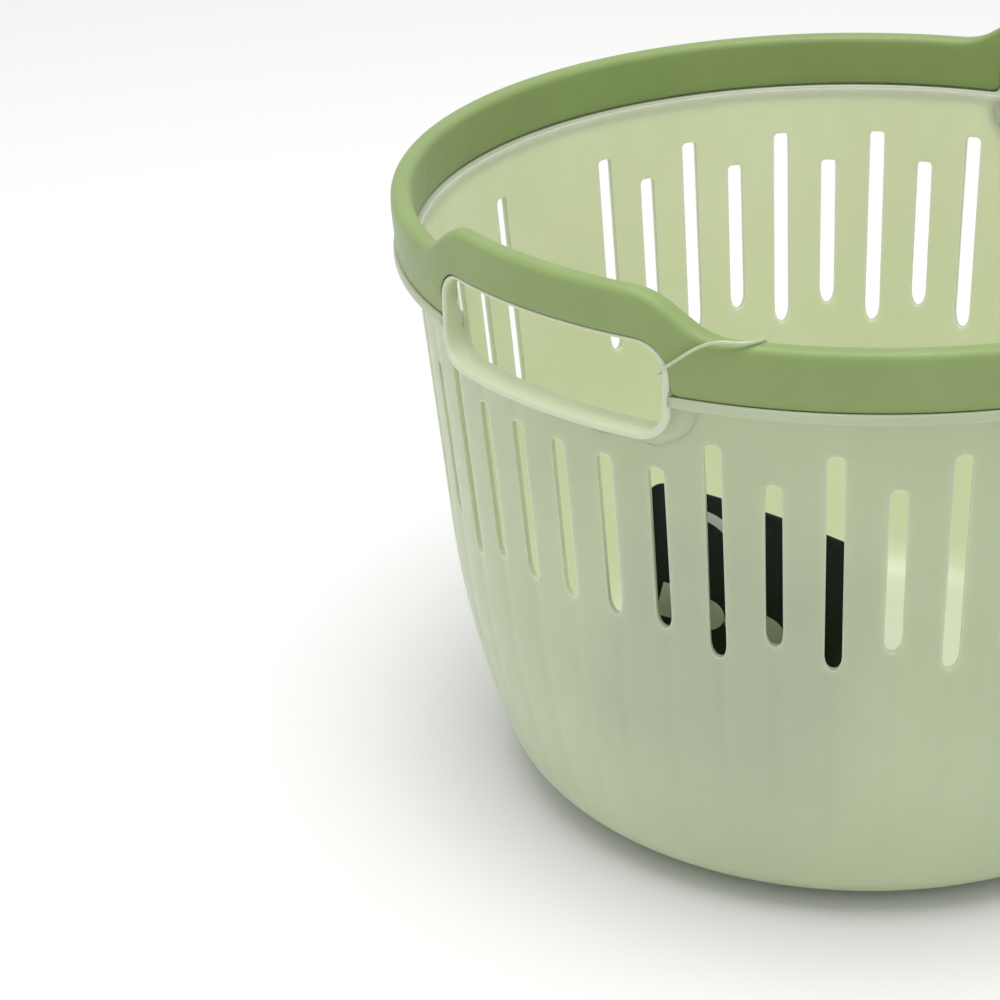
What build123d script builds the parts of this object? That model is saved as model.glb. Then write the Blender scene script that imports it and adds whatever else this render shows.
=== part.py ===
"""Round slotted kitchen basket with a pressed-on rim ring and a hanging card tag.

Frame: millimetres, +Z up, origin on the resting plane at the basket's axis.
The two hand openings lie on -X and +X.
"""

import os
from math import asin, cos, degrees, radians, sin, tan

from build123d import *

# ---- rim ring ----
RIM_RADIUS = 150.0  # outside of the ring at its top
RIM_Z = 205.5  # crest of the ring between the grips
RIM_WIDTH = 6.8  # radial width over its top
RIM_WALL = 1.5
RIM_EDGE_RADIUS = 2.6  # rounding of the two top edges
RIM_TAPER = 0.9  # how much the outer skirt draws in towards its lower edge
OUTER_SKIRT = 18.0  # lower edges of the ring's skirts, below the crest
INNER_SKIRT = 17.4

GRIP_RISE = 12.0  # how far the grips stand above the crest
GRIP_FLAT = 32.0  # half length of a grip at full height
RAMP_RADIUS = 19.0  # the two arcs of each ramp
RAMP_ANGLE = 35.0  # degrees, slope of the ramp between them
GRIP_UNDERSIDE = 2.3  # lower edge of the grip, below the crest

# ---- basket ----
WALL = 2.0
WALL_TOP_RADIUS = 143.8  # outside of the wall at the ledge
WALL_SLOPE = 5.28  # degrees from the vertical
STRAIGHT_HEIGHT = 96.8  # of the wall below the ledge, down to the belly
BELLY_RADIUS = 300.0
BELLY_SWEEP = 14.45  # degrees
CORNER_RADIUS = 22.6  # from the belly into the base
FOOT_OUTER = 96.0
FOOT_INNER = 92.0
CHANNEL_GAP = 0.3  # between basket and ring

LEDGE_THICKNESS = 3.2
LEDGE_RADIUS = 149.8

OPENING_WIDTH = 86.4  # clear hand opening
OPENING_BOTTOM = 31.0  # below the crest
OPENING_TOP = 3.5
OPENING_CORNER = 8.0
FLANGE = 2.3  # collar round the opening
COLLAR_BLEND = 4.0  # rounding from the collar into the wall

SLOT_POSITIONS = 50
SLOTS_EACH_SIDE = 11  # of a grip's middle; the rest of the wall is plain
SLOT_WIDTH = 5.1
SLOT_CORNER = 1.8
SLOT_TIP = 6.0  # height of a slot's tapering lower end
LONG_SLOT = (35.0, 106.8)  # top and lower end, below the crest
SHORT_SLOT = (45.5, 100.2)

# ---- hang tag and its filament ----
TAG_WIDTH = 70.0
TAG_HEIGHT = 90.0
TAG_THICKNESS = 0.5
TAG_CORNER = 5.0
TAG_BOW = 2.8  # how far the middle stands in from the side edges
TAG_HOLE_RADIUS = 2.2
TAG_HOLE_INSET = 6.0  # hole centre below the top edge
TAG_HOLE_SIDE = 2.0  # hole centre to the left of the card's middle, seen from outside
TAG_ANGLE = -155.0  # degrees round the basket
TAG_DISTANCE = 123.0  # hole centre from the basket's axis
TAG_DROP = 68.2  # hole centre below the crest
TAG_LEAN = 9.5  # degrees, lower end inwards
TAG_TILT = -14.3  # degrees, turned about the hole as seen from outside

FILAMENT = 1.0  # diameter
CLASP_DIAMETER = 3.4
# From the clasp down to the tag, through its hole, up between tag and wall, out of the
# hand opening's corner, over the rim and back down to the clasp.
FILAMENT_ROUTE = [
    (-110.0, -51.9, 165.1),
    (-104.4, -50.4, 152.6),
    (-106.1, -49.5, 138.2),
    (-116.8, -54.5, 136.4),
    (-119.5, -55.5, 150.0),
    (-126.0, -51.0, 166.5),
    (-131.5, -41.3, 183.0),
    (-147.0, -38.9, 190.4),
    (-144.4, -46.8, 198.3),
    (-139.8, -58.0, 207.2),
    (-133.0, -66.0, 209.0),
    (-123.6, -65.8, 208.6),
    (-118.4, -60.4, 192.0),
    (-112.6, -53.5, 171.5),
]

TALL = 60.0  # oversize of cutting blocks

SKIRT_Z = RIM_Z - OUTER_SKIRT
LEDGE_Z = SKIRT_Z - CHANNEL_GAP


def revolved(*outline):
    """Solid of revolution from (radius, z) points."""
    return revolve(make_face(Polyline(*[(r, 0, z) for r, z in outline], close=True)), Axis.Z)


def ring_block(r_in, r_out, z_low, z_high):
    return revolved((r_in, z_low), (r_out, z_low), (r_out, z_high), (r_in, z_high))


def across(face_yz):
    """Prism right across the basket, along X, from a face drawn in (y, z)."""
    return extrude(Plane.YZ * face_yz, RIM_RADIUS + TALL, both=True)


def above_crest(drop):
    """Everything above the ring's top line, lowered by drop."""
    swing = radians(RAMP_ANGLE)
    arc_rise = RAMP_RADIUS * (1 - cos(swing))
    slope_run = (GRIP_RISE - 2 * arc_rise) / tan(swing)
    foot = GRIP_FLAT + 2 * RAMP_RADIUS * sin(swing) + slope_run
    low, high = RIM_Z - drop, RIM_Z + GRIP_RISE - drop
    far, roof = RIM_RADIUS + TALL, high + TALL
    with BuildSketch() as region:
        with BuildLine():
            Line((-GRIP_FLAT, high), (GRIP_FLAT, high))
            for side in (1, -1):
                top = CenterArc(
                    (side * GRIP_FLAT, high - RAMP_RADIUS),
                    RAMP_RADIUS,
                    90,
                    -side * RAMP_ANGLE,
                )
                bottom = CenterArc(
                    (side * foot, low + RAMP_RADIUS),
                    RAMP_RADIUS,
                    270,
                    -side * RAMP_ANGLE,
                )
                Line(top @ 1, bottom @ 1)
                Polyline((side * foot, low), (side * far, low), (side * far, roof))
            Line((-far, roof), (far, roof))
        make_face()
    return across(region.sketch)


def rounded_window(width, bottom, top, corner):
    """Prism across both hand openings; bottom and top are below the crest."""
    window = RectangleRounded(width, bottom - top, corner)
    return across(Pos(0, RIM_Z - (bottom + top) / 2) * window)


def wall_revolve(inset):
    """The basket's filled outer form, drawn inset from its outside."""
    slope = radians(WALL_SLOPE)
    end = radians(WALL_SLOPE + BELLY_SWEEP)
    top = (WALL_TOP_RADIUS, SKIRT_Z)
    knee = (top[0] - STRAIGHT_HEIGHT * tan(slope), SKIRT_Z - STRAIGHT_HEIGHT)
    belly = (knee[0] - BELLY_RADIUS * cos(slope), knee[1] + BELLY_RADIUS * sin(slope))
    inner_r = BELLY_RADIUS - CORNER_RADIUS
    corner = (belly[0] + inner_r * cos(end), belly[1] - inner_r * sin(end))
    shift = inset / cos(slope)
    rise = 0.0 if inset == 0 else 1.0
    with BuildSketch(Plane.XZ) as half:
        with BuildLine():
            start = (top[0] - shift + rise * tan(slope), top[1] + rise)
            low = (knee[0] - inset * cos(slope), knee[1] + inset * sin(slope))
            Polyline((0, start[1]), start, low)
            CenterArc(belly, BELLY_RADIUS - inset, -WALL_SLOPE, -BELLY_SWEEP)
            bend = CenterArc(
                corner,
                CORNER_RADIUS - inset,
                -WALL_SLOPE - BELLY_SWEEP,
                WALL_SLOPE + BELLY_SWEEP - 90,
            )
            Polyline(bend @ 1, (0, (bend @ 1).Y), (0, start[1]))
        make_face()
    return revolve(half.sketch, Axis.Z), corner[1] - CORNER_RADIUS


def slot_cutters():
    """One radial prism for each slot, in two lengths."""
    cutters = []
    for grip_angle in (0, 180):
        for k in range(-SLOTS_EACH_SIDE, SLOTS_EACH_SIDE + 1):
            top, end = LONG_SLOT if abs(k) % 2 and abs(k) > 2 else SHORT_SLOT
            half = SLOT_WIDTH / 2
            low, high = RIM_Z - end, RIM_Z - top
            with BuildSketch() as shape:
                with BuildLine():
                    Line((half, low + SLOT_TIP), (half, high - SLOT_CORNER))
                    CenterArc((half - SLOT_CORNER, high - SLOT_CORNER), SLOT_CORNER, 0, 90)
                    Line((half - SLOT_CORNER, high), (SLOT_CORNER - half, high))
                    CenterArc((SLOT_CORNER - half, high - SLOT_CORNER), SLOT_CORNER, 90, 90)
                    Line((-half, high - SLOT_CORNER), (-half, low + SLOT_TIP))
                    EllipticalCenterArc(
                        (0, low + SLOT_TIP), half, SLOT_TIP, start_angle=180, arc_size=180
                    )
                make_face()
            angle = grip_angle + k * 360 / SLOT_POSITIONS
            turn = radians(angle)
            outward = Vector(cos(turn), sin(turn), 0)
            plane = Plane(outward * (RIM_RADIUS - TALL), Vector(-sin(turn), cos(turn), 0), outward)
            cutters.append(extrude(plane * shape.sketch, TALL))
    return cutters


def make_rim_ring():
    """Inverted channel over the basket's edge, arched up at the two grips."""
    inner = RIM_RADIUS - RIM_WIDTH
    crest = RIM_Z + GRIP_RISE
    body = revolved(
        (inner, SKIRT_Z),
        (RIM_RADIUS - RIM_TAPER, SKIRT_Z),
        (RIM_RADIUS, RIM_Z - 2 * RIM_EDGE_RADIUS),
        (RIM_RADIUS, crest + 1),
        (inner, crest + 1),
    )
    body -= above_crest(0)
    top_edges = body.edges().filter_by(
        lambda e: e.center().Z > RIM_Z - 1 and not on_flat_top_seam(e)
    )
    body = fillet(top_edges, RIM_EDGE_RADIUS)
    channel = revolved(
        (inner + RIM_WALL, SKIRT_Z - 1),
        (RIM_RADIUS - RIM_TAPER - RIM_WALL, SKIRT_Z - 1),
        (RIM_RADIUS - RIM_WALL, RIM_Z),
        (RIM_RADIUS - RIM_WALL, crest + 1),
        (inner + RIM_WALL, crest + 1),
    )
    body -= channel - above_crest(RIM_WALL)
    body -= ring_block(inner - 1, inner + RIM_WALL + 1, SKIRT_Z - 1, RIM_Z - INNER_SKIRT)
    gap = 2 * CHANNEL_GAP
    body -= rounded_window(
        OPENING_WIDTH + 2 * FLANGE + gap,
        OPENING_BOTTOM + FLANGE + CHANNEL_GAP,
        GRIP_UNDERSIDE - CHANNEL_GAP,
        OPENING_CORNER + FLANGE + CHANNEL_GAP,
    )
    return body


def on_flat_top_seam(edge):
    """True for the edges that cross the ring's top from side to side."""
    ends = [Vector(p.X, p.Y, 0).length for p in (edge @ 0, edge @ 1)]
    return abs(ends[0] - ends[1]) > RIM_WIDTH / 2


def joins_wall(edge):
    """True for the edges along which a collar meets the outside of the wall."""
    spot = edge.center()
    spread, drop = Vector(spot.X, spot.Y, 0).length, RIM_Z - spot.Z
    near_wall = WALL_TOP_RADIUS - WALL < spread < WALL_TOP_RADIUS
    return near_wall and OUTER_SKIRT + CHANNEL_GAP < drop < OPENING_BOTTOM + 2 * FLANGE


def make_basket():
    """Slotted shell with its ledge, its edge inside the ring and the two collars."""
    outer, base_z = wall_revolve(0)
    edge_in = RIM_RADIUS - RIM_WIDTH + RIM_WALL + CHANNEL_GAP
    edge = ring_block(edge_in, edge_in + WALL, SKIRT_Z - 0.5, RIM_Z + GRIP_RISE)
    edge -= above_crest(RIM_WALL + 2 * CHANNEL_GAP)
    ledge = ring_block(WALL_TOP_RADIUS - WALL, LEDGE_RADIUS, LEDGE_Z - LEDGE_THICKNESS, LEDGE_Z)
    frame = rounded_window(
        OPENING_WIDTH + 2 * FLANGE,
        OPENING_BOTTOM + FLANGE,
        GRIP_UNDERSIDE,
        OPENING_CORNER + FLANGE,
    )
    low_z = RIM_Z - OPENING_BOTTOM - 2 * FLANGE
    lower_collar = ring_block(WALL_TOP_RADIUS - WALL, LEDGE_RADIUS, low_z, SKIRT_Z) & frame
    upper_collar = ring_block(edge_in, LEDGE_RADIUS, LEDGE_Z - CHANNEL_GAP, RIM_Z) & frame
    foot = ring_block(FOOT_INNER, FOOT_OUTER, 0, base_z + WALL / 2)
    hollow, _ = wall_revolve(WALL)
    shell = outer + lower_collar
    shell = fillet(shell.edges().filter_by(joins_wall), COLLAR_BLEND)
    shell -= hollow
    shell += [edge, ledge, foot, upper_collar]
    shell -= rounded_window(OPENING_WIDTH, OPENING_BOTTOM, OPENING_TOP, OPENING_CORNER)
    return shell - slot_cutters()


def tag_place():
    """Plane at the tag's hole: x along its top edge, y up, z out through the wall."""
    turn, lean = radians(TAG_ANGLE), radians(TAG_LEAN)
    outward = Vector(cos(turn), sin(turn), 0)
    normal = outward * cos(lean) - Vector(0, 0, 1) * sin(lean)
    hole = outward * TAG_DISTANCE + Vector(0, 0, RIM_Z - TAG_DROP)
    level = Vector(-sin(turn), cos(turn), 0)
    return Plane(hole, level, normal) * Rot(0, 0, TAG_TILT)


def make_tag():
    """Bowed card with rounded corners and a hole near the middle of its top edge."""
    half = TAG_WIDTH / 2
    bend = (half**2 + TAG_BOW**2) / (2 * TAG_BOW)
    sweep_angle = degrees(asin(half / bend))
    with BuildSketch(Plane.XZ) as section:
        with BuildLine():
            inside = CenterArc((0, bend), bend + TAG_THICKNESS, 270 - sweep_angle, 2 * sweep_angle)
            outside = CenterArc((0, bend), bend, 270 - sweep_angle, 2 * sweep_angle)
            Line(inside @ 0, outside @ 0)
            Line(inside @ 1, outside @ 1)
        make_face()
    card = Pos(TAG_HOLE_SIDE, TAG_HOLE_INSET, 0) * extrude(section.sketch, TAG_HEIGHT)
    card = fillet(card.edges().filter_by(lambda e: e.length < 2 * TAG_THICKNESS), TAG_CORNER)
    return tag_place() * (card - Cylinder(TAG_HOLE_RADIUS, TAG_CORNER))


def make_filament():
    """Tube of straight runs and tangent arcs through the route."""
    points = [Vector(*p) for p in FILAMENT_ROUTE]
    radii = []
    for before, here, after in zip(points, points[1:], points[2:]):
        runs = (here - before, after - here)
        half_turn = radians(runs[0].get_angle(runs[1])) / 2
        radii.append(0.45 * min(run.length for run in runs) / tan(half_turn))
    path = FilletPolyline(*points, radius=radii)
    print("filament radii", [round(r, 1) for r in radii], "length", round(path.length, 1))
    return sweep(Plane(points[0], z_dir=path % 0) * Circle(FILAMENT / 2), path)


def make_clasp():
    """Small rounded barrel that joins the filament's two ends."""
    low, high = Vector(*FILAMENT_ROUTE[0]), Vector(*FILAMENT_ROUTE[-1])
    along = high - low
    barrel = extrude(Plane(low, z_dir=along) * Circle(CLASP_DIAMETER / 2), along.length)
    return fillet(barrel.edges().filter_by(GeomType.CIRCLE), CLASP_DIAMETER / 4)


def save(name, shape):
    shape.label = name
    export_step(shape, f"parts/{name}.step")
    print(name, round(shape.volume), shape.is_valid)


os.makedirs("parts", exist_ok=True)
save("rim_ring", make_rim_ring())
save("basket", make_basket())
save("hang_tag", make_tag())
save("tag_filament", make_filament())
save("filament_clasp", make_clasp())
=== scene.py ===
import math

import bmesh
import bpy
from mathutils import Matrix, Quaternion, Vector


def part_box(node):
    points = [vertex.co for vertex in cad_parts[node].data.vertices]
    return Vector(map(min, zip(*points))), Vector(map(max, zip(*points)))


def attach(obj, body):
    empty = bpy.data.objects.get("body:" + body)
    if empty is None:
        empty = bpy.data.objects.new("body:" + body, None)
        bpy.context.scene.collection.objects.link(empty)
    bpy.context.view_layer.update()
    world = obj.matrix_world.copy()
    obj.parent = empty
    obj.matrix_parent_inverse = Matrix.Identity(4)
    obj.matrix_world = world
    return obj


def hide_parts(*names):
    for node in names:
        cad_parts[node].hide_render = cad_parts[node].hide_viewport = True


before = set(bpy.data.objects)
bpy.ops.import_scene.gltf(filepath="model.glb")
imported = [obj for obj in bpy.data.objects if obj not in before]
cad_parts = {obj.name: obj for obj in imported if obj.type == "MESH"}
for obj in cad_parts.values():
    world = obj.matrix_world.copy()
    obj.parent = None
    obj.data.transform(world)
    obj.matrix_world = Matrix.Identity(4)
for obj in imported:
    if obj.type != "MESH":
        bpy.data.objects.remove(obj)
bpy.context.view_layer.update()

MM = 0.001

# ---- places worked out from the frame, in metres; a drop is measured down from CREST_Z ----
ring_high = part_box("rim_ring")[1]
RIM_RADIUS = ring_high.y
GRIP_RISE = 12.0 * MM
CREST_Z = ring_high.z - GRIP_RISE  # top of the ring between its grips

# ---- the ring's section ----
RIM_WIDTH = 6.8 * MM
RIM_WALL = 1.5 * MM
RIM_EDGE = 2.6 * MM
RIM_TAPER = 0.9 * MM
SOFT_EDGE = 0.5 * MM
OUTER_SKIRT = 18.0 * MM
INNER_SKIRT = 17.4 * MM
GRIP_FLAT = 32.0 * MM
RAMP_RADIUS = 19.0 * MM
RAMP_ANGLE = math.radians(35)
GRIP_UNDERSIDE = 2.3 * MM
SKIRT_ROUNDING = 2.0 * MM
PLANE_SECTIONS = 62.0 * MM  # nearer the grips than this, the ring's sections are planes of one y
TURNING_SECTIONS = 30.0 * MM  # over this distance they turn until they run to the axis

# ---- the basket ----
WALL = 2.0 * MM
WALL_TOP_RADIUS = 143.8 * MM
WALL_SLOPE = math.radians(5.28)
STRAIGHT_HEIGHT = 96.8 * MM
BELLY_RADIUS = 300.0 * MM
BELLY_SWEEP = math.radians(14.45)
CORNER_RADIUS = 22.6 * MM
FOOT_OUTER = 96.0 * MM
FOOT_INNER = 92.0 * MM
LEDGE_TOP = 18.3 * MM
EDGE_RADIUS = 147.0 * MM  # outside of the basket's edge, inside the ring
LEDGE_THICKNESS = 3.2 * MM
LEDGE_RADIUS = 149.8 * MM

OPENING_HALF = 43.2 * MM
OPENING_BOTTOM = 31.0 * MM
OPENING_TOP = 3.5 * MM
OPENING_CORNER = 8.0 * MM
OPENING_FLAT = OPENING_HALF - OPENING_CORNER  # where its corners start, across
OPENING_FLOOR = OPENING_BOTTOM - OPENING_CORNER  # and down
TRIM_ENDS = (50.0 * MM, 34.0 * MM)  # across and down; past these an edge of the grid is a slot's
FLANGE = 2.3 * MM
GROWN_AT_TOP = (OPENING_TOP - GRIP_UNDERSIDE) / FLANGE  # the collar is thinner along its top
COLLAR_BLEND = 4.0 * MM
COLLAR_DIVE = 0.8 * MM
BLEND_GROWS = (13.0 * MM, 20.0 * MM)  # the collar's hollow curve grows between these drops
BACK_STEPS_IN = (13.0 * MM, 22.0 * MM)  # and its back follows the wall's step between these
RING_CUT_GAP = 0.3 * MM
RING_CUT_CORNER = OPENING_CORNER + FLANGE + RING_CUT_GAP

SLOT_POSITIONS = 50
SLOTS_EACH_SIDE = 11
SLOT_HALF = 2.55 * MM
SLOT_CORNER = 1.8 * MM
SLOT_TIP = 6.0 * MM
LONG_SLOT = (35.0 * MM, 106.8 * MM)
SHORT_SLOT = (45.5 * MM, 100.2 * MM)
FLUTE_HALF = 4.6 * MM
FLUTE_DEPTH = 0.45 * MM
FLUTE_STARTS = (24.0 * MM, 38.0 * MM)  # deepens between these drops
FLUTE_ENDS = (168.0 * MM, 196.0 * MM)  # and fades out between these

# ---- the tag ----
TAG_WIDTH = 70.0 * MM
TAG_HEIGHT = 90.0 * MM
TAG_THICKNESS = 0.5 * MM
TAG_CORNER = 5.0 * MM
TAG_BOW = 2.8 * MM
TAG_HOLE = 2.2 * MM
TAG_HOLE_INSET = 6.0 * MM
TAG_HOLE_SIDE = 2.0 * MM  # seen from outside, the hole is this far left of the card's middle
TAG_ANGLE = -155.0  # degrees
TAG_DISTANCE = 123.0 * MM
TAG_DROP = 68.2 * MM
TAG_LEAN = 9.5  # degrees
TAG_TILT = -14.3  # degrees

FILAMENT = 1.0 * MM
# The filament's route: the CAD part's, with some points moved so that it lies closer round the ring.
FILAMENT_ROUTE = [
    (-0.1100, -0.0519, 0.1651),
    (-0.1054, -0.0494, 0.1526),
    (-0.1061, -0.0495, 0.1382),
    (-0.1168, -0.0545, 0.1364),
    (-0.1165, -0.0575, 0.1500),
    (-0.1215, -0.0575, 0.1700),
    (-0.1320, -0.0422, 0.1925),
    (-0.1452, -0.0417, 0.1938),
    (-0.1450, -0.0462, 0.1970),
    (-0.1402, -0.0575, 0.2068),
    (-0.1345, -0.0658, 0.2065),
    (-0.1305, -0.0680, 0.2064),
    (-0.1262, -0.0670, 0.2058),
    (-0.1195, -0.0620, 0.1950),
    (-0.1126, -0.0535, 0.1715),
]


# ======== camera ========
CAMERA_LENS = 102.1  # on a sensor 36 wide
CAMERA_PLACE = (-0.6780, -0.5305, CREST_Z + 0.3031)
CAMERA_HEADING = math.radians(45.96)
CAMERA_PITCH = math.radians(-25.98)
CAMERA_ROLL = math.radians(-1.98)


def make_camera():
    """The camera that sees the basket from above one side, with a slight roll."""
    data = bpy.data.cameras.new("camera")
    camera = bpy.data.objects.new("camera", data)
    bpy.context.scene.collection.objects.link(camera)
    data.sensor_width = 36.0
    data.lens = CAMERA_LENS
    look = Vector((math.cos(CAMERA_HEADING), math.sin(CAMERA_HEADING), math.tan(CAMERA_PITCH)))
    camera.location = Vector(CAMERA_PLACE)
    camera.rotation_mode = "QUATERNION"
    upright = look.to_track_quat("-Z", "Y")
    camera.rotation_quaternion = upright @ Quaternion((0, 0, 1), CAMERA_ROLL)
    data.clip_start = 0.01
    data.clip_end = 50
    bpy.context.scene.camera = camera


# ======== shape helpers ========
def new_object(name, vertices, faces, body, materials, looks=None):
    """A mesh riding on a body; looks gives each face's material by its place in materials."""
    mesh = bpy.data.meshes.new(name)
    mesh.from_pydata(vertices, [], faces)
    for material in materials:
        mesh.materials.append(material)
    if looks:
        mesh.polygons.foreach_set("material_index", looks)
    mesh.validate()
    mesh.update()
    obj = bpy.data.objects.new(name, mesh)
    bpy.context.scene.collection.objects.link(obj)
    finish_surface(obj)
    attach(obj, body)
    return obj


def finish_surface(obj):
    """Outward normals and smooth shading."""
    mesh = bmesh.new()
    mesh.from_mesh(obj.data)
    bmesh.ops.remove_doubles(mesh, verts=mesh.verts, dist=1e-7)
    bmesh.ops.recalc_face_normals(mesh, faces=mesh.faces)
    for face in mesh.faces:
        face.smooth = True
    mesh.to_mesh(obj.data)
    mesh.free()


def grid_faces(columns, rows, wrap_columns=False, wrap_rows=False):
    """Quads of a grid whose vertices are numbered column by column."""
    faces = []
    for column in range(columns if wrap_columns else columns - 1):
        here = column * rows
        there = (column + 1) % columns * rows
        for row in range(rows if wrap_rows else rows - 1):
            after = (row + 1) % rows
            faces.append((here + row, there + row, there + after, here + after))
    return faces


def crest_rise(y):
    """Height of the ring's top line above the crest between the grips."""
    y = abs(y)
    arc_run = RAMP_RADIUS * math.sin(RAMP_ANGLE)
    arc_rise = RAMP_RADIUS * (1 - math.cos(RAMP_ANGLE))
    slope_run = (GRIP_RISE - 2 * arc_rise) / math.tan(RAMP_ANGLE)
    foot = GRIP_FLAT + 2 * arc_run + slope_run
    if y <= GRIP_FLAT:
        return GRIP_RISE
    if y >= foot:
        return 0.0
    if y < GRIP_FLAT + arc_run:
        return GRIP_RISE - RAMP_RADIUS + math.sqrt(RAMP_RADIUS**2 - (y - GRIP_FLAT) ** 2)
    if y > foot - arc_run:
        return RAMP_RADIUS - math.sqrt(RAMP_RADIUS**2 - (foot - y) ** 2)
    return GRIP_RISE - arc_rise - (y - GRIP_FLAT - arc_run) * math.tan(RAMP_ANGLE)


def slope_drop(drop):
    """Outside radius of the straight wall at a drop below the crest."""
    return WALL_TOP_RADIUS - (drop - OUTER_SKIRT) * math.tan(WALL_SLOPE)


# ======== rim ring ========
def window_edge(y):
    """Lower edge of the ring's cut over a hand opening, below the crest, or None beside it."""
    top = GRIP_UNDERSIDE - RING_CUT_GAP
    past = abs(y) - OPENING_FLAT
    if past >= RING_CUT_CORNER:
        return None
    if past <= 0:
        return top
    return top + RING_CUT_CORNER - math.sqrt(RING_CUT_CORNER**2 - past**2)


def skirt_edge(y, depth):
    """Lower edge of a skirt of that depth, below the crest, its corner rounded."""
    cut = window_edge(y)
    if cut is not None:
        return min(cut, depth)
    past = abs(y) - (OPENING_HALF + FLANGE + RING_CUT_GAP)
    if past >= SKIRT_ROUNDING:
        return depth
    return depth - SKIRT_ROUNDING + math.sqrt(SKIRT_ROUNDING**2 - (SKIRT_ROUNDING - past) ** 2)


def ring_section(y):
    """Closed (radius, z) outline of the ring where it passes y."""
    inner = RIM_RADIUS - RIM_WIDTH
    top = CREST_Z + crest_rise(y)
    shoulder = top - RIM_EDGE
    low_out = CREST_Z - skirt_edge(y, OUTER_SKIRT)
    low_in = CREST_Z - skirt_edge(y, INNER_SKIRT)
    taper_from = CREST_Z - 2 * RIM_EDGE
    taper_to = CREST_Z - OUTER_SKIRT

    def outside(z):
        share = max(0.0, (taper_from - z) / (taper_from - taper_to))
        return RIM_RADIUS - RIM_TAPER * share

    points = []
    # Up the outside, from the skirt's soft edge to the rounded shoulder.
    for step in range(4):
        a = math.radians(30 * step)
        r = outside(low_out) - SOFT_EDGE * (1 - math.sin(a))
        points.append((r, low_out + SOFT_EDGE * (1 - math.cos(a))))
    for share in (0.15, 0.35, 0.6, 0.85):
        z = low_out + SOFT_EDGE + share * (shoulder - low_out - SOFT_EDGE)
        points.append((outside(z), z))
    for step in range(8):
        a = math.radians(90 * step / 7)
        points.append((RIM_RADIUS - RIM_EDGE * (1 - math.cos(a)), top - RIM_EDGE * (1 - math.sin(a))))
    # Over the top and down the inside.
    for step in range(8):
        a = math.radians(90 * step / 7)
        points.append((inner + RIM_EDGE * (1 - math.sin(a)), top - RIM_EDGE * (1 - math.cos(a))))
    for share in (0.8, 0.5, 0.2):
        points.append((inner, low_in + SOFT_EDGE + share * (shoulder - low_in - SOFT_EDGE)))
    for step in range(4):
        a = math.radians(30 * step)
        points.append((inner + SOFT_EDGE * (1 - math.cos(a)), low_in + SOFT_EDGE * (1 - math.sin(a))))
    # Back through the channel between the two skirts.
    wall = inner + RIM_WALL
    points += [(wall, low_in), (wall, low_in + SOFT_EDGE), (wall, top - RIM_WALL)]
    far = outside(low_out) - RIM_WALL
    points += [(RIM_RADIUS - RIM_WALL, top - RIM_WALL), (far, low_out + SOFT_EDGE), (far, low_out)]
    return points


def ring_columns():
    """The y of each section in one quadrant, closer together at the ramps and the cut's end."""
    corner_angles = (15, 30, 45, 55, 65, 72, 78, 83, 87, 89.7)
    past_cut = (0.001, 0.05, 0.2, 0.5, 0.9, 1.4, 2.0)
    ys = [4 * MM * i for i in range(8)]
    ys += [GRIP_FLAT + 0.9 * MM * i for i in range(34)]
    ys += [OPENING_FLAT + RING_CUT_CORNER * math.sin(math.radians(a)) for a in corner_angles]
    ys += [OPENING_FLAT + RING_CUT_CORNER + extra * MM for extra in past_cut]
    ys = sorted(ys)
    # From there on, even steps of angle up to the quadrant's end.
    start = math.asin(ys[-1] / RIM_RADIUS)
    count = 40
    for i in range(1, count + 1):
        ys.append(RIM_RADIUS * math.sin(start + (math.pi / 2 - start) * i / count))
    return ys


def make_ring(material):
    """The ring's sections joined all the way round: one quadrant's, then its three mirror images."""
    quadrant = ring_columns()
    around = [(1, y) for y in quadrant] + [(-1, y) for y in quadrant[-2::-1]]
    around += [(-1, -y) for y in quadrant[1:]] + [(1, -y) for y in quadrant[-2:0:-1]]
    vertices = []
    for side, y in around:
        radial = min(1.0, max(0.0, (abs(y) - PLANE_SECTIONS) / TURNING_SECTIONS))
        section = ring_section(y)
        for r, z in section:
            here = y * (1 - radial) + y * r / RIM_RADIUS * radial
            vertices.append((side * math.sqrt(max(0.0, r * r - here * here)), here, z))
    faces = grid_faces(len(around), len(section), wrap_columns=True, wrap_rows=True)
    ring = new_object("rim_ring_skin", vertices, faces, "basket", [material])
    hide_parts("rim_ring")


# ======== basket ========
def slot_half_width(drop, ends):
    """Half width of a slot at a drop below the crest, 0 above and below it."""
    if ends is None or drop <= ends[0] or drop >= ends[1]:
        return 0.0
    top, low = ends
    if drop < top + SLOT_CORNER:
        t = top + SLOT_CORNER - drop
        return SLOT_HALF - SLOT_CORNER + math.sqrt(SLOT_CORNER**2 - t**2)
    if drop > low - SLOT_TIP:
        t = (drop - low + SLOT_TIP) / SLOT_TIP
        return SLOT_HALF * math.sqrt(max(0.0, 1 - t * t))
    return SLOT_HALF


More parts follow.
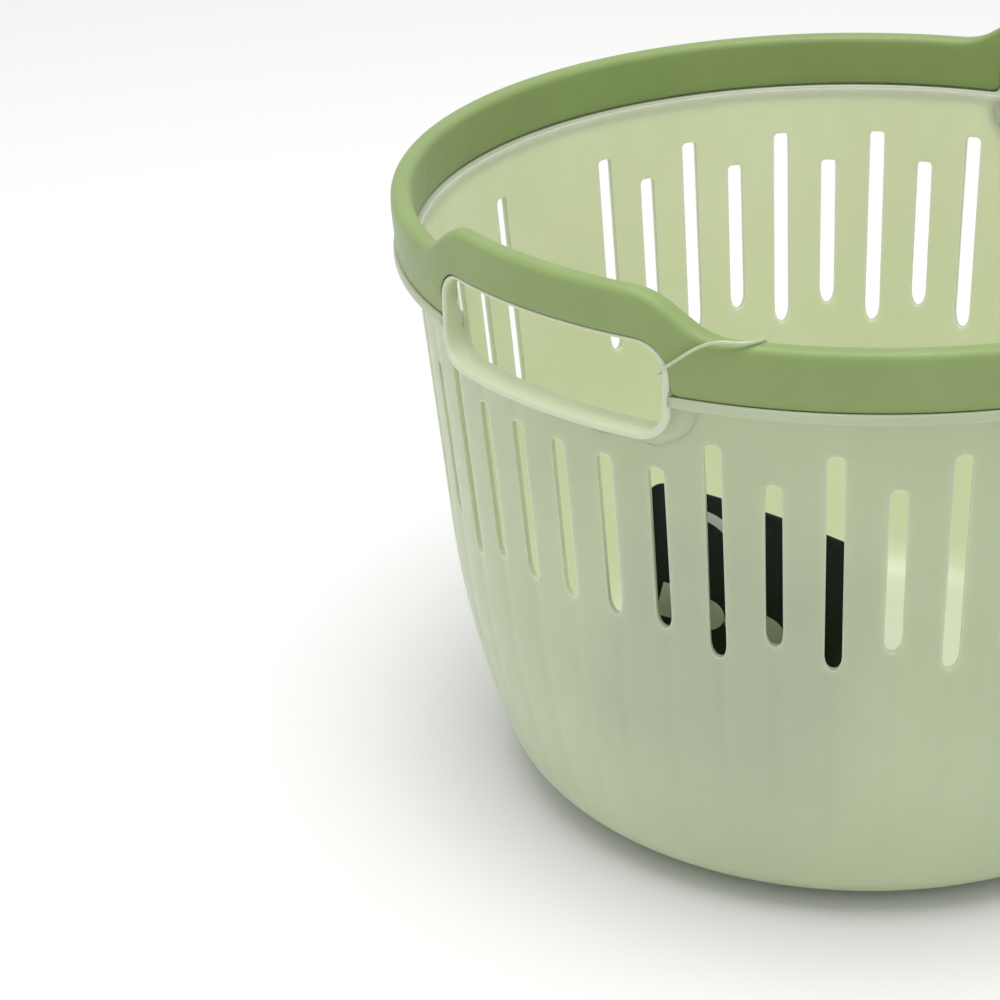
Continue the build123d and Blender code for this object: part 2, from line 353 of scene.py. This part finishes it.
def wall_rows():
    """(radius, drop) pairs of the outside of the wall, from its hidden top to the base."""
    beside_openings = [20.6, 22.0, 23.1, 24.6, 26.1, 27.6, 29.1, 30.6, 32.15, 33.5]
    below_top = (0.0, 0.05, 0.25, 0.6, 1.1, 1.8)
    above_low = (6.0, 5.1, 4.0, 2.9, 1.8, 0.9, 0.3, 0.0)
    between = [39.5, 42.5, *range(51, 93, 4), 108.5, 111.5, 114.8]
    drops = beside_openings + between
    for top, low in (LONG_SLOT, SHORT_SLOT):
        drops += [top / MM + s for s in below_top] + [low / MM - s for s in above_low]
    rows = [(EDGE_RADIUS, d * MM) for d in (2.4, 10.0, 20.0)]
    rows += [(slope_drop(d * MM), d * MM) for d in sorted(set(drops))]

    # The belly's long arc is tangent to the straight wall, and the corner's arc to the belly and base.
    knee = OUTER_SKIRT + STRAIGHT_HEIGHT
    belly_r = slope_drop(knee) - BELLY_RADIUS * math.cos(WALL_SLOPE)
    belly_drop = knee - BELLY_RADIUS * math.sin(WALL_SLOPE)
    for i in range(1, 15):
        a = WALL_SLOPE + BELLY_SWEEP * i / 14
        rows.append((belly_r + BELLY_RADIUS * math.cos(a), belly_drop + BELLY_RADIUS * math.sin(a)))
    end = WALL_SLOPE + BELLY_SWEEP
    reach = BELLY_RADIUS - CORNER_RADIUS
    corner_r = belly_r + reach * math.cos(end)
    corner_drop = belly_drop + reach * math.sin(end)
    for i in range(1, 13):
        a = end + (math.pi / 2 - end) * i / 12
        rows.append((corner_r + CORNER_RADIUS * math.cos(a), corner_drop + CORNER_RADIUS * math.sin(a)))
    base_drop = rows[-1][1]
    rows += [(r * MM, base_drop) for r in (94, 80, 60, 40, 20, 8)]
    return rows


def smooth_step(value, start, end):
    """0 up to start, 1 from end on, and a smooth curve between."""
    t = min(1.0, max(0.0, (value - start) / (end - start)))
    return t * t * (3 - 2 * t)


def flute(across, drop):
    """How far the wall is drawn in at a distance across from a slot's middle."""
    if abs(across) >= FLUTE_HALF:
        return 0.0
    along = smooth_step(drop, *FLUTE_STARTS) * (1 - smooth_step(drop, *FLUTE_ENDS))
    return FLUTE_DEPTH * math.cos(math.pi / 2 * across / FLUTE_HALF) ** 2 * along


def slot_of(position):
    """(top, low) of the slot at one of the places round the wall, or None."""
    half = SLOT_POSITIONS // 2
    k = (position + half // 2) % half - half // 2
    if abs(k) > SLOTS_EACH_SIDE:
        return None
    return LONG_SLOT if abs(k) % 2 and abs(k) > 2 else SHORT_SLOT


def in_opening(y, drop):
    """True inside a hand opening's outline, drawn halfway through its collar."""
    middle = FLANGE / 2
    y = abs(y)
    if y > OPENING_FLAT and drop > OPENING_FLOOR:
        return math.hypot(y - OPENING_FLAT, drop - OPENING_FLOOR) < OPENING_CORNER + middle
    return y < OPENING_HALF + middle and drop < OPENING_BOTTOM + middle


def make_shell(material, inside):
    """The slotted wall and base: an outside grid that follows every slot, then thickened."""
    rows = wall_rows()
    shares = (0.0, 0.12, 0.27, 0.5, 0.74, 1.0)  # of the way from a slot's edge to its tile's
    tile = 2 * math.pi / SLOT_POSITIONS
    vertices = []
    faces = []
    for position in range(SLOT_POSITIONS):
        ends = slot_of(position)
        middle = position * tile
        for side in (-1, 1):
            first = len(vertices)
            for r, drop in rows:
                half_tile = tile / 2 * r
                edge = slot_half_width(drop, ends)
                for share in shares:
                    across = edge + (half_tile - edge) * share
                    depth = 0.0 if ends is None else flute(across, drop)
                    angle = middle + side * across / r
                    vertices.append(
                        ((r - depth) * math.cos(angle), (r - depth) * math.sin(angle), CREST_Z - drop)
                    )
            for a, b, c, d in grid_faces(len(rows), len(shares)):
                faces.append((first + a, first + b, first + c, first + d))
    shell = new_object("basket_shell", vertices, faces, "basket", [material, inside])
    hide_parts("basket")
    trim_openings(shell)
    close_base(shell, rows[-1][0])
    thicken = shell.modifiers.new("wall", "SOLIDIFY")
    thicken.thickness = WALL
    thicken.offset = -1
    thicken.use_even_offset = True
    # The inner faces get the second material, a lighter copy of the outside's: painted light on the
    # wall's inside.
    thicken.material_offset = 1
    soften = shell.modifiers.new("soft edges", "BEVEL")
    soften.width = 0.25 * MM
    soften.segments = 2
    soften.limit_method = "ANGLE"
    soften.angle_limit = math.radians(50)


def trim_openings(shell):
    """Cuts both hand openings out of the grid and draws its edge onto their outline."""
    mesh = bmesh.new()
    mesh.from_mesh(shell.data)
    gone = []
    for face in mesh.faces:
        centre = face.calc_center_median()
        if in_opening(centre.y, CREST_Z - centre.z):
            gone.append(face)
    bmesh.ops.delete(mesh, geom=gone, context="FACES")
    reach = OPENING_CORNER + FLANGE / 2
    # Only the boundary round an opening's lower corners moves, and not that of a slot near by.
    for vertex in mesh.verts:
        drop = CREST_Z - vertex.co.z
        y = abs(vertex.co.y)
        near = OPENING_FLAT - 1 * MM < y < TRIM_ENDS[0] and OPENING_FLOOR < drop < TRIM_ENDS[1]
        if not (vertex.is_boundary and near):
            continue
        r = math.hypot(vertex.co.x, vertex.co.y)
        angle = math.atan2(drop - OPENING_FLOOR, max(0.0, y - OPENING_FLAT))
        new_y = OPENING_FLAT + reach * math.cos(angle)
        vertex.co.z = CREST_Z - OPENING_FLOOR - reach * math.sin(angle)
        vertex.co.x = math.copysign(math.sqrt(r * r - new_y * new_y), vertex.co.x)
        vertex.co.y = math.copysign(new_y, vertex.co.y)
    mesh.to_mesh(shell.data)
    mesh.free()


def close_base(shell, radius):
    """Closes the base inside its last row with one face, and turns all normals outwards."""
    mesh = bmesh.new()
    mesh.from_mesh(shell.data)
    rim = [
        edge
        for edge in mesh.edges
        if edge.is_boundary and all(abs(v.co.xy.length - radius) < 0.1 * MM for v in edge.verts)
    ]
    bmesh.ops.contextual_create(mesh, geom=rim)
    bmesh.ops.recalc_face_normals(mesh, faces=mesh.faces)
    lowest = min(mesh.faces, key=lambda face: face.calc_center_median().z)
    if lowest.normal.z > 0:
        bmesh.ops.reverse_faces(mesh, faces=mesh.faces)
    for face in mesh.faces:
        face.smooth = True
    mesh.to_mesh(shell.data)
    mesh.free()


def window_outline(grown):
    """(y, drop) points round a hand opening, drawn outwards by grown."""
    corner = OPENING_CORNER + grown
    flat = OPENING_FLAT
    low = OPENING_FLOOR
    high = OPENING_TOP + OPENING_CORNER + grown * (1 - GROWN_AT_TOP)
    # A corner's first angle and centre, then where the straight stretch after it ends, and its steps.
    stretches = [
        (0, (flat, low), (-flat, low + corner), 30),
        (90, (-flat, low), (-flat - corner, high), 10),
        (180, (-flat, high), (flat, high - corner), 30),
        (270, (flat, high), (flat + corner, low), 10),
    ]
    points = []
    for first, (y, drop), end, steps in stretches:
        for step in range(9):
            a = math.radians(first + 90 * step / 8)
            points.append((y + corner * math.cos(a), drop + corner * math.sin(a)))
        last = points[-1]
        for step in range(1, steps):
            t = step / steps
            points.append((last[0] + (end[0] - last[0]) * t, last[1] + (end[1] - last[1]) * t))
    return points


def make_collar(side, lip_highlight, sill_painted_light, flank):
    """Frame that stands out from the wall round one hand opening, softly rounded in front."""
    front = LEDGE_RADIUS
    # How far from the opening's edge to the collar's, and the radius there.
    section = [(0.0, front - 1.0 * MM), (0.06, front - 0.55 * MM), (0.2, front - 0.16 * MM)]
    section += [(0.4, front), (0.62, front), (0.82, front - 0.16 * MM), (0.95, front - 0.55 * MM)]
    section += [(1.0, front - 1.0 * MM)]
    blend = [math.radians(15 * step) for step in range(7)]
    vertices = []
    for (y0, d0), (y1, d1) in zip(window_outline(0), window_outline(FLANGE)):
        spots = [(y0 + (y1 - y0) * t, d0 + (d1 - d0) * t, r) for t, r in section]
        # Below the ledge the collar's outside runs into the wall in a hollow curve.
        reach = COLLAR_BLEND * smooth_step(d1, *BLEND_GROWS)
        span = math.hypot(y1 - y0, d1 - d0)
        out_y = (y1 - y0) / span
        out_drop = (d1 - d0) / span
        for a in blend:
            away = reach * (1 - math.cos(a))
            y = y1 + out_y * away
            drop = d1 + out_drop * away
            wall = slope_drop(drop) if drop > LEDGE_TOP else EDGE_RADIUS
            spots.append((y, drop, wall - 0.08 * MM + reach * (1 - math.sin(a))))
        # The blend's last strip dives under the wall, so its end doesn't show.
        spots.append((y + out_y * COLLAR_DIVE, drop + out_drop * COLLAR_DIVE, wall - 0.5 * MM))
        # The back follows the wall's inside, which steps in at the ledge.
        for y, drop in ((y1, d1), (y0, d0)):
            below_ledge = smooth_step(drop, *BACK_STEPS_IN)
            outside = EDGE_RADIUS + (slope_drop(drop) - 0.05 * MM - EDGE_RADIUS) * below_ledge
            spots.append((y, drop, outside - WALL))
        for y, drop, r in spots:
            vertices.append((side * math.sqrt(r * r - y * y), y, CREST_Z - drop))
    rows = len(spots)
    faces = grid_faces(len(vertices) // rows, rows, wrap_columns=True, wrap_rows=True)
    # Sill on the face towards the opening, lip on the rounded front, flank on all the rest; the lip's
    # material is a lighter copy of the flank's, a painted highlight, and the sill's has painted light on
    # it.
    looks = []
    for face in faces:
        row = face[0] % rows
        if row == rows - 1:
            looks.append(1)
        else:
            looks.append(0 if row < len(section) - 1 else 2)
    name = "opening_collar_near_tag" if side < 0 else "opening_collar_far"
    new_object(name, vertices, faces, "basket", [lip_highlight, sill_painted_light, flank], looks)


def lathe(name, outline, start, end, count, material):
    """Turned strip between two angles; outline is a closed loop of (radius, z)."""
    whole = end - start >= 2 * math.pi - 1e-6
    columns = count if whole else count + 1
    vertices = []
    for i in range(columns):
        a = start + (end - start) * i / count
        vertices += [(r * math.cos(a), r * math.sin(a), z) for r, z in outline]
    faces = grid_faces(columns, len(outline), wrap_columns=whole, wrap_rows=True)
    if not whole:
        faces.append(tuple(range(len(outline))))
        faces.append(tuple(len(vertices) - 1 - i for i in range(len(outline))))
    new_object(name, vertices, faces, "basket", [material])


def make_ledge_and_foot(material):
    """The ledge under the rim ring, in two lengths between the collars, and the foot ring."""
    top = LEDGE_TOP
    low = LEDGE_TOP + LEDGE_THICKNESS
    side = LEDGE_RADIUS
    soft = SOFT_EDGE
    nearly = 0.15 * MM
    ledge = [(142.5 * MM, top), (side - 2 * soft, top), (side - soft, top)]
    ledge += [(side - nearly, top + nearly), (side, top + soft)]
    ledge += [(side, low - soft), (side - nearly, low - nearly), (side - soft, low)]
    # Its underside runs into the wall in a hollow curve.
    ledge += [(EDGE_RADIUS, low), (145.2 * MM, low + 0.05 * MM), (144.2 * MM, low + 0.5 * MM)]
    ledge += [(143.75 * MM, low + 1.3 * MM), (142.6 * MM, low + 1.6 * MM)]
    outline = [(r, CREST_Z - drop) for r, drop in ledge]
    start = math.asin((OPENING_HALF + FLANGE - 0.2 * MM) / LEDGE_RADIUS)
    for name, turn in (("ledge_left", 0.0), ("ledge_right", math.pi)):
        lathe(name, outline, turn + start, turn + math.pi - start, 150, material)
    inside_base = CREST_Z - wall_rows()[-1][1] + 0.3 * MM
    foot = [(FOOT_OUTER, inside_base), (FOOT_OUTER, soft), (FOOT_OUTER - soft, 0.0)]
    foot += [(FOOT_INNER + soft, 0.0), (FOOT_INNER, soft), (FOOT_INNER, inside_base)]
    lathe("foot_ring", foot, 0.0, 2 * math.pi, 200, material)


# ======== tag ========
def tag_frame():
    """Hole centre, and the tag's axes: across the card, up it and out of its face."""
    turn, lean, tilt = (math.radians(a) for a in (TAG_ANGLE, TAG_LEAN, TAG_TILT))
    outward = Vector((math.cos(turn), math.sin(turn), 0))
    normal = outward * math.cos(lean) - Vector((0, 0, 1)) * math.sin(lean)
    level = Vector((-math.sin(turn), math.cos(turn), 0))
    rise = normal.cross(level)
    across = level * math.cos(tilt) + rise * math.sin(tilt)
    hole = outward * TAG_DISTANCE + Vector((0, 0, CREST_Z - TAG_DROP))
    return hole, across, normal.cross(across), normal


def card_columns():
    """u of each column of the card's grid, closer together at its corners and hole."""
    half = TAG_WIDTH / 2
    steps = [half * i / 16 for i in range(17)]
    steps += [half - TAG_CORNER * (1 - math.sin(math.radians(a))) for a in (0, 15, 30, 45, 60, 75, 85)]
    columns = [TAG_HOLE_SIDE + side * step for step in steps for side in (-1, 1)]
    columns += [TAG_HOLE * math.sin(math.radians(a)) for a in range(-90, 91, 10)]
    return sorted(set(columns))


def card_rows(u):
    """v of each point in one column: the top edge, both sides of the hole, then on to the bottom edge."""
    past = max(0.0, abs(u - TAG_HOLE_SIDE) - (TAG_WIDTH / 2 - TAG_CORNER))
    inset = TAG_CORNER - math.sqrt(max(0.0, TAG_CORNER**2 - past**2))
    gap = math.sqrt(max(0.0, TAG_HOLE**2 - u * u))
    high = TAG_HOLE_INSET - inset
    deep = TAG_HOLE_INSET - TAG_HEIGHT + inset
    rows = [high, (high + gap) / 2, gap, -gap]
    rows += [-gap + (deep + gap) * i / 8 for i in range(1, 9)]
    return rows


def make_tag(material):
    """Bowed card, its hole and corners followed by the columns of the grid; u, v start at the hole."""
    columns = card_columns()
    bend = ((TAG_WIDTH / 2) ** 2 + TAG_BOW**2) / (2 * TAG_BOW)
    vertices = []
    for u in columns:
        rows = card_rows(u)
        a = math.asin((u - TAG_HOLE_SIDE) / bend)
        vertices += [(u, v, bend * (1 - math.cos(a))) for v in rows]
    count = len(rows)

    def over_hole(face):
        widest = max(abs(columns[corner // count]) for corner in face[:2])
        return face[0] % count == 2 and widest <= TAG_HOLE + 1e-9

    faces = [face for face in grid_faces(len(columns), count) if not over_hole(face)]
    mesh = bpy.data.meshes.new("tag_card")
    mesh.from_pydata(vertices, [], faces)
    card = bpy.data.objects.new("tag_card", mesh)
    bpy.context.scene.collection.objects.link(card)
    finish_surface(card)
    mesh.materials.append(material)
    hole, across, rise, normal = tag_frame()
    place = card.matrix_world.copy()
    for row in range(3):
        for column, axis in enumerate((across, rise, normal, hole)):
            place[row][column] = axis[row]
    card.matrix_world = place
    facing = sum(polygon.normal.z * polygon.area for polygon in mesh.polygons)
    thicken = card.modifiers.new("card", "SOLIDIFY")
    thicken.thickness = TAG_THICKNESS
    thicken.offset = -1 if facing > 0 else 1
    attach(card, "tag")
    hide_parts("hang_tag")


# ======== filament ========
def make_filament(clear):
    """The loop on one smooth curve along its route."""
    curve = bpy.data.curves.new("tag_filament_loop", "CURVE")
    curve.dimensions = "3D"
    spline = curve.splines.new("NURBS")
    spline.points.add(len(FILAMENT_ROUTE) - 1)
    for point, place in zip(spline.points, FILAMENT_ROUTE):
        point.co = (*place, 1.0)
    spline.order_u = 3
    spline.use_endpoint_u = True
    curve.resolution_u = 12
    curve.bevel_depth = FILAMENT / 2
    curve.bevel_resolution = 4
    curve.use_fill_caps = True
    curve.materials.append(clear)
    loop = bpy.data.objects.new("tag_filament_loop", curve)
    bpy.context.scene.collection.objects.link(loop)
    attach(loop, "basket")
    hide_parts("tag_filament")
    return loop


def make_clasp(clear):
    """Barrel over the filament's two ends, waisted in the middle."""
    low = Vector(FILAMENT_ROUTE[0])
    along = Vector(FILAMENT_ROUTE[-1]) - low
    # Share of the way along, and radius in mm.
    outline = [(0.0, 0.45), (0.03, 1.05), (0.1, 1.45), (0.2, 1.65), (0.35, 1.6), (0.5, 1.5)]
    outline += [(1 - t, r) for t, r in outline[-2::-1]]
    turn = along.to_track_quat("Z", "Y")
    vertices = []
    count = 24
    for i in range(count):
        a = 2 * math.pi * i / count
        for t, r in outline:
            spot = Vector((r * MM * math.cos(a), r * MM * math.sin(a), t * along.length))
            vertices.append(tuple(low + turn @ spot))
    rows = len(outline)
    faces = grid_faces(count, rows, wrap_columns=True)
    faces.append(tuple(i * rows for i in range(count)))
    faces.append(tuple(i * rows + rows - 1 for i in range(count)))
    clasp = new_object("filament_clasp_barrel", vertices, faces, "basket", [clear])
    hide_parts("filament_clasp")
    return clasp


# ======== materials ========
def linear(r, g, b):
    """Scene-linear colour of an sRGB one in 0 to 255."""
    out = []
    for value in (r, g, b):
        c = value / 255
        out.append(c / 12.92 if c <= 0.04045 else ((c + 0.055) / 1.055) ** 2.4)
    return (*out, 1.0)


class Shader:
    """A material's node tree, with short calls for the nodes used here."""

    def __init__(self, name):
        self.material = bpy.data.materials.new(name)
        self.material.use_nodes = True
        self.nodes = self.material.node_tree.nodes
        self.links = self.material.node_tree.links
        self.surface = next(n for n in self.nodes if n.type == "BSDF_PRINCIPLED")
        self.place = self.nodes.new("ShaderNodeTexCoord").outputs["Object"]

    def set(self, **values):
        for name, value in values.items():
            self.surface.inputs[name.replace("_", " ")].default_value = value

    def link(self, source, socket):
        self.links.new(source, socket)

    def noise(self, scale, detail=2.0):
        node = self.nodes.new("ShaderNodeTexNoise")
        node.inputs["Scale"].default_value = scale
        node.inputs["Detail"].default_value = detail
        self.link(self.place, node.inputs["Vector"])
        return node.outputs["Fac"]

    def span(self, value, to_low, to_high):
        """Spreads a noise's usual range over the one given."""
        node = self.nodes.new("ShaderNodeMapRange")
        ends = {"From Min": 0.3, "From Max": 0.7, "To Min": to_low, "To Max": to_high}
        for name, number in ends.items():
            node.inputs[name].default_value = number
        self.link(value, node.inputs["Value"])
        return node.outputs["Result"]

    def mix(self, factor, a, b):
        node = self.nodes.new("ShaderNodeMix")
        node.data_type = "RGBA"
        self.link(factor, node.inputs["Factor"])
        for source, index in ((a, 6), (b, 7)):
            if isinstance(source, tuple):
                node.inputs[index].default_value = source
            else:
                self.link(source, node.inputs[index])
        return node.outputs[2]

    def math(self, operation, a, b=0.0):
        node = self.nodes.new("ShaderNodeMath")
        node.operation = operation
        for index, source in enumerate((a, b)):
            if isinstance(source, (int, float)):
                node.inputs[index].default_value = source
            else:
                self.link(source, node.inputs[index])
        return node.outputs[0]

    def bump(self, height, distance, strength=1.0):
        node = self.nodes.new("ShaderNodeBump")
        node.inputs["Distance"].default_value = distance
        node.inputs["Strength"].default_value = strength
        self.link(height, node.inputs["Height"])
        self.link(node.outputs["Normal"], self.surface.inputs["Normal"])


def basket_material(name, colours, through=1.0):
    """Milky pale green polypropylene, faintly mottled; through is how much light passes it."""
    shader = Shader(name)
    cloud = shader.span(shader.noise(22.0, 3.0), 0.0, 1.0)
    colour = shader.mix(cloud, linear(*colours[0]), linear(*colours[1]))
    shader.link(colour, shader.surface.inputs["Base Color"])
    shader.link(shader.span(shader.noise(160.0), 0.3, 0.42), shader.surface.inputs["Roughness"])
    shader.set(Subsurface_Weight=through, Subsurface_Radius=(1.0, 1.0, 0.8), Subsurface_Scale=6.0 * MM)
    shader.set(IOR=1.49)
    shader.bump(shader.noise(420.0, 3.0), 0.06 * MM, 0.5)
    return shader.material


def ring_material():
    """Matte sage plastic with a fine moulded grain."""
    shader = Shader("matte sage plastic")
    cloud = shader.span(shader.noise(35.0, 3.0), 0.0, 1.0)
    colour = shader.mix(cloud, linear(*RING_COLOURS[0]), linear(*RING_COLOURS[1]))
    shader.link(colour, shader.surface.inputs["Base Color"])
    shader.link(shader.span(shader.noise(300.0), 0.44, 0.56), shader.surface.inputs["Roughness"])
    shader.set(IOR=1.49, Sheen_Weight=0.15, Sheen_Roughness=0.45)
    shader.bump(shader.noise(1600.0, 2.0), 0.05 * MM, 0.7)
    return shader.material


def clear_material():
    """Slightly cloudy clear nylon."""
    shader = Shader("clear nylon")
    shader.set(Base_Color=linear(*NYLON_COLOUR), Roughness=0.22, IOR=1.53, Transmission_Weight=0.45)
    shader.bump(shader.noise(2500.0), 0.02 * MM, 0.5)
    return shader.material


def tag_material():
    """Dark printed card with generic olive shapes and a pale curved band."""
    shader = Shader("printed card")
    parts = shader.nodes.new("ShaderNodeSeparateXYZ")
    shader.link(shader.place, parts.inputs["Vector"])
    u = parts.outputs["X"]
    v = parts.outputs["Y"]

    def distance(cu, cv):
        du = shader.math("SUBTRACT", u, cu * MM)
        dv = shader.math("SUBTRACT", v, cv * MM)
        squares = shader.math("ADD", shader.math("MULTIPLY", du, du), shader.math("MULTIPLY", dv, dv))
        return shader.math("SQRT", squares)

    def between(value, low, high):
        above = shader.math("GREATER_THAN", value, low * MM)
        below = shader.math("LESS_THAN", value, high * MM)
        return shader.math("MULTIPLY", above, below)

    olive = shader.math("MULTIPLY", between(u, *PRINT_BLOCK[0]), between(v, *PRINT_BLOCK[1]))
    for cu, cv, radius in PRINT_DISCS:
        disc = shader.math("LESS_THAN", distance(cu, cv), radius * MM)
        olive = shader.math("MAXIMUM", olive, disc)
    band = between(distance(*BAND_CENTRE), *BAND_RADII)
    band = shader.math("MULTIPLY", band, shader.math("GREATER_THAN", u, BAND_STARTS[0] * MM))
    band = shader.math("MULTIPLY", band, shader.math("GREATER_THAN", v, BAND_STARTS[1] * MM))
    fibre = shader.span(shader.noise(900.0, 4.0), 0.0, 1.0)
    ink = shader.mix(fibre, linear(*INK_COLOURS[0]), linear(*INK_COLOURS[1]))
    ink = shader.mix(olive, ink, linear(*SHAPES_COLOUR))
    ink = shader.mix(band, ink, linear(*BAND_COLOUR))
    shader.link(ink, shader.surface.inputs["Base Color"])
    shader.set(Roughness=0.5, Specular_IOR_Level=0.3)
    shader.bump(shader.noise(700.0, 4.0), 0.03 * MM, 0.4)
    return shader.material


# The tag's print, in mm from its hole: ranges of u and v, then discs as (u, v, radius).
PRINT_BLOCK = ((-22.7, -15.1), (-43.2, -30.2))
PRINT_DISCS = ((-8.5, -37.9, 6.1), (3.9, -36.8, 6.2), (9.9, -37.8, 7.0))
# Its curved band lies between two radii, past the u and v where it starts.
BAND_CENTRE = (-17.7, -17.6)
BAND_RADII = (14.4, 17.9)
BAND_STARTS = (-16.6, -9.2)

# All colours are sRGB; where a material has two, noise mixes them.
OUTSIDE_COLOURS = ((178, 188, 161), (183, 193, 167))
# The inside is a lighter copy of the outside colours: painted light, so the wall's inside looks more
# brightly lit than its outside.
INSIDE_PAINTED_LIGHT_COLOURS = ((207, 214, 187), (212, 219, 193))
THICK_COLOURS = ((180, 190, 158), (185, 195, 164))
# The collar's rounded front is a lighter copy of the same plastic: a painted highlight along its lip.
LIP_HIGHLIGHT_COLOURS = ((206, 214, 184), (210, 218, 190))
# The sill facing the opening is lighter as well: painted light, lifting the shade under the ring's grip.
SILL_PAINTED_LIGHT_COLOURS = ((202, 211, 175), (206, 215, 180))
RING_COLOURS = ((133, 155, 92), (139, 161, 98))
INK_COLOURS = ((9, 27, 24), (14, 34, 30))
SHAPES_COLOUR = (236, 242, 216)
BAND_COLOUR = (238, 242, 240)
NYLON_COLOUR = (222, 232, 205)
THICK_THROUGH = 0.15  # how much light passes the collars, the ledge and the foot


# ======== surroundings ========
FLOOR_SIZE = 12.0
STUDIO_STRENGTH = 0.62
KEY_PLACE = (-0.2, -0.15, 2.0)
KEY_SIZE = 1.5
KEY_POWER = 28.0
AIM_HEIGHT = 0.11


def make_stage():
    """Plain pale floor, white studio light from all round, and one soft light above."""
    bpy.ops.mesh.primitive_plane_add(size=FLOOR_SIZE, location=(0, 0, 0))
    floor = bpy.context.object
    floor.name = "floor"
    shader = Shader("pale floor")
    shader.set(Base_Color=(0.93, 0.93, 0.93, 1.0), Roughness=0.7)
    floor.data.materials.append(shader.material)

    world = bpy.data.worlds.new("studio")
    bpy.context.scene.world = world
    world.use_nodes = True
    background = world.node_tree.nodes["Background"]
    background.inputs["Color"].default_value = (1.0, 1.0, 0.99, 1.0)
    background.inputs["Strength"].default_value = STUDIO_STRENGTH
    area_light("key", KEY_PLACE, KEY_SIZE, KEY_POWER)
    bpy.context.scene.view_settings.view_transform = "Standard"


def area_light(name, place, size, power):
    """Round light aimed at the middle of the basket."""
    data = bpy.data.lights.new(name, "AREA")
    data.shape = "DISK"
    data.size = size
    data.energy = power
    light = bpy.data.objects.new(name, data)
    bpy.context.scene.collection.objects.link(light)
    light.location = place
    aim = Vector((0, 0, AIM_HEIGHT)) - light.location
    light.rotation_euler = aim.to_track_quat("-Z", "Y").to_euler()


make_camera()
nylon = clear_material()
filament = make_filament(nylon)
clasp = make_clasp(nylon)
make_tag(tag_material())
polypropylene = basket_material("milky green polypropylene", OUTSIDE_COLOURS)
thick = basket_material("thick milky green polypropylene", THICK_COLOURS, THICK_THROUGH)
# The lip's material is the collar's plastic made lighter: a painted highlight.
lip_highlight = basket_material("milky green polypropylene with a painted highlight", LIP_HIGHLIGHT_COLOURS, THICK_THROUGH)
# The sill's material is the collar's plastic made lighter: painted light where the grip above shades it.
sill_painted_light = basket_material("milky green polypropylene with painted light on the sill", SILL_PAINTED_LIGHT_COLOURS, THICK_THROUGH)
# The wall's inside is lighter than its outside: painted light.
inside = basket_material("inside of milky green polypropylene with painted light", INSIDE_PAINTED_LIGHT_COLOURS)
make_ring(ring_material())
make_shell(polypropylene, inside)
for side in (-1, 1):
    make_collar(side, lip_highlight, sill_painted_light, thick)
make_ledge_and_foot(thick)
make_stage()
